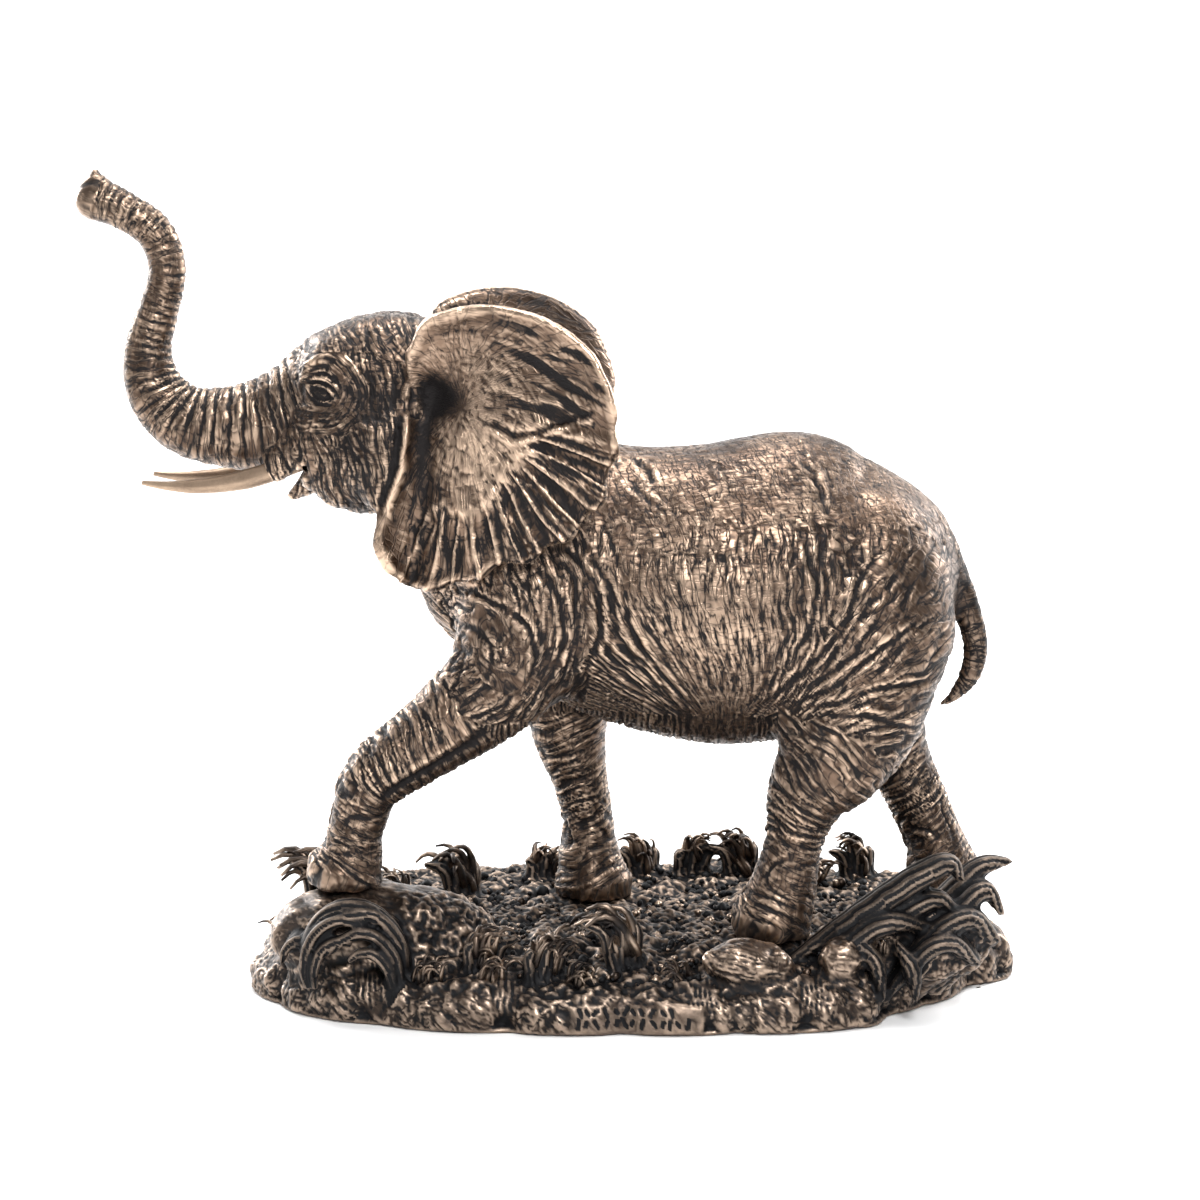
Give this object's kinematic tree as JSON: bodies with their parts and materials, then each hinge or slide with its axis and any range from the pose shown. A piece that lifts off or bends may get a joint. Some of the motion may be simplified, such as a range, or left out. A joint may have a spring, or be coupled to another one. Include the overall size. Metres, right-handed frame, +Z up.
{
  "type": "elephant statue",
  "caption": "Cast desk statue of an elephant striding over rough ground, with its trunk raised, spread ears and separate tusks.",
  "frame": {"origin": "middle of the flat underside of the ground base", "axes": "+Z up; -X is the way the elephant walks and looks; -Y is its left side, the one that the picture shows"},
  "size_m": [0.2672, 0.1237, 0.2331],
  "materials": {
    "skin": "dark brown bronze patina, rubbed golden brown on the raised folds",
    "soil": "near-black bronze patina, rubbed brown on the edges",
    "tusk": "smooth tan bronze"
  },
  "bodies": {
    "root": {"elephant": "skin", "ground_base": "soil", "left_tusk": "tusk", "right_tusk": "tusk"}
  },
  "joints": []
}
